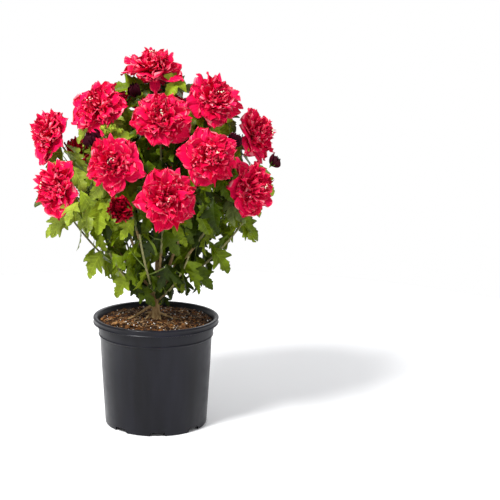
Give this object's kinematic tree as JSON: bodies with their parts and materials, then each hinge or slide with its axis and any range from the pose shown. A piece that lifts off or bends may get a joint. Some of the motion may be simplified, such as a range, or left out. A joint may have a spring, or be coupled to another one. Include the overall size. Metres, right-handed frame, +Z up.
{
  "type": "potted hibiscus shrub",
  "caption": "Small hibiscus shrub with large double red blooms, on a short trunk in a round plastic nursery pot filled with bark mix.",
  "frame": {"origin": "centre of the pot's flat underside", "axes": "+Z up the trunk, -Y the side that faces the viewer"},
  "size_m": [0.4597, 0.4032, 0.6894],
  "materials": {
    "pot": "satin",
    "soil": "loose bark mix",
    "bark": "thin matt bark",
    "foliage": "soft leaves with a faint sheen",
    "bloom_and_foliage": "soft petals among leaves"
  },
  "bodies": {
    "root": {"pot": "pot", "soil": "soil", "trunk": "bark", "bough_top": "bark", "bough_left": "bark", "bough_front_left": "bark", "bough_front": "bark", "bough_front_right": "bark", "bough_right": "bark", "bough_back_right": "bark", "bough_back": "bark", "bough_back_left": "bark", "mass_top": "bloom_and_foliage", "mass_left": "bloom_and_foliage", "mass_front_left": "bloom_and_foliage", "mass_front": "bloom_and_foliage", "mass_front_right": "bloom_and_foliage", "mass_right": "bloom_and_foliage", "mass_back_right": "bloom_and_foliage", "mass_back": "bloom_and_foliage", "mass_back_left": "bloom_and_foliage", "mass_skirt_1": "foliage", "mass_skirt_2": "foliage", "mass_skirt_3": "foliage", "mass_skirt_4": "foliage", "mass_skirt_5": "foliage", "mass_skirt_6": "foliage", "mass_skirt_7": "foliage", "mass_skirt_8": "foliage"}
  },
  "joints": []
}
